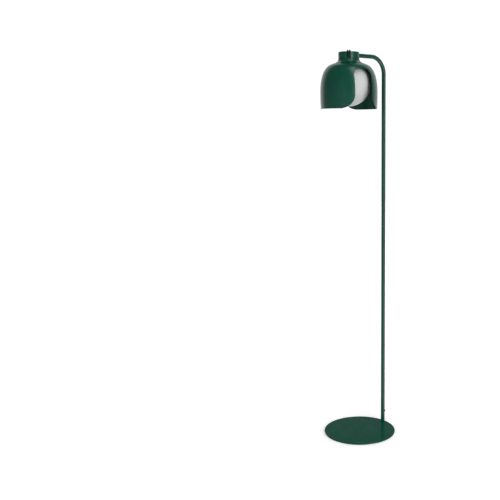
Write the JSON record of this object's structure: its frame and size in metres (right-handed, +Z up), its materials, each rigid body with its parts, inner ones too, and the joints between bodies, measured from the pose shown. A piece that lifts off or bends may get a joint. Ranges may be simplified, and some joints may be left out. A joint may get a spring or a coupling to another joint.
{
  "type": "floor lamp",
  "caption": "Floor lamp with a round base plate, a thin pole at its edge, an arm bent over the base, and a swivelling metal shade with cut windows around an opal globe.",
  "frame": {"origin": "centre of the base's underside, on the floor", "axes": "+Z up; +X from the base's centre to the pole; the arm points to -X"},
  "size_m": [0.2999, 0.283, 1.4978],
  "materials": {
    "green_paint": "satin powder coat",
    "base_paint": "glossier powder coat",
    "opal_glass": "opal, satin outside",
    "zinc": "zinc plated",
    "brass": "plain",
    "holder_plastic": "matt",
    "rubber": "matt",
    "fibre": "matt fibre",
    "insulator": "black glass",
    "cable_sheath": "matt PVC"
  },
  "bodies": {
    "stand": {"base_pad": "rubber", "base_plate": "base_paint", "pole_bolt": "zinc", "lower_pole": "green_paint", "foot_insert": "zinc", "cable_grommet": "rubber", "pole_joiner": "zinc", "upper_pole_arm": "green_paint", "arm_insert": "zinc", "arm_nipple": "zinc", "arm_nut": "zinc", "head_cap": "green_paint", "hub": "green_paint", "stem": "zinc", "stem_nut": "zinc", "holder_nut": "zinc", "knob_washer": "zinc", "neck_bush": "zinc", "friction_washer": "fibre", "wave_washer": "zinc", "swivel_ring_nut": "zinc", "globe": "opal_glass", "globe_ring": "holder_plastic", "lampholder_cap": "holder_plastic", "lampholder_body": "holder_plastic", "screw_shell": "brass", "centre_contact": "brass", "live_screw": "brass", "neutral_screw": "brass", "bulb_contact": "brass", "bulb_insulator": "insulator", "bulb_cap": "brass", "bulb_glass": "opal_glass", "inner_cable": "cable_sheath", "live_core": "brass", "neutral_core": "brass"},
    "shade": {"shade": "green_paint"},
    "clamp_knob": {"clamp_knob": "green_paint"}
  },
  "joints": [
    {"name": "shade_swivel", "type": "hinge", "parent": "stand", "child": "shade", "pos_m": [-0.051, 0, 1.4612], "axis": [0, 0, 1], "continuous": true},
    {"name": "knob_turn", "type": "hinge", "parent": "stand", "child": "clamp_knob", "pos_m": [-0.051, 0, 1.494], "axis": [0, 0, 1], "range_deg": [0, 180]}
  ]
}
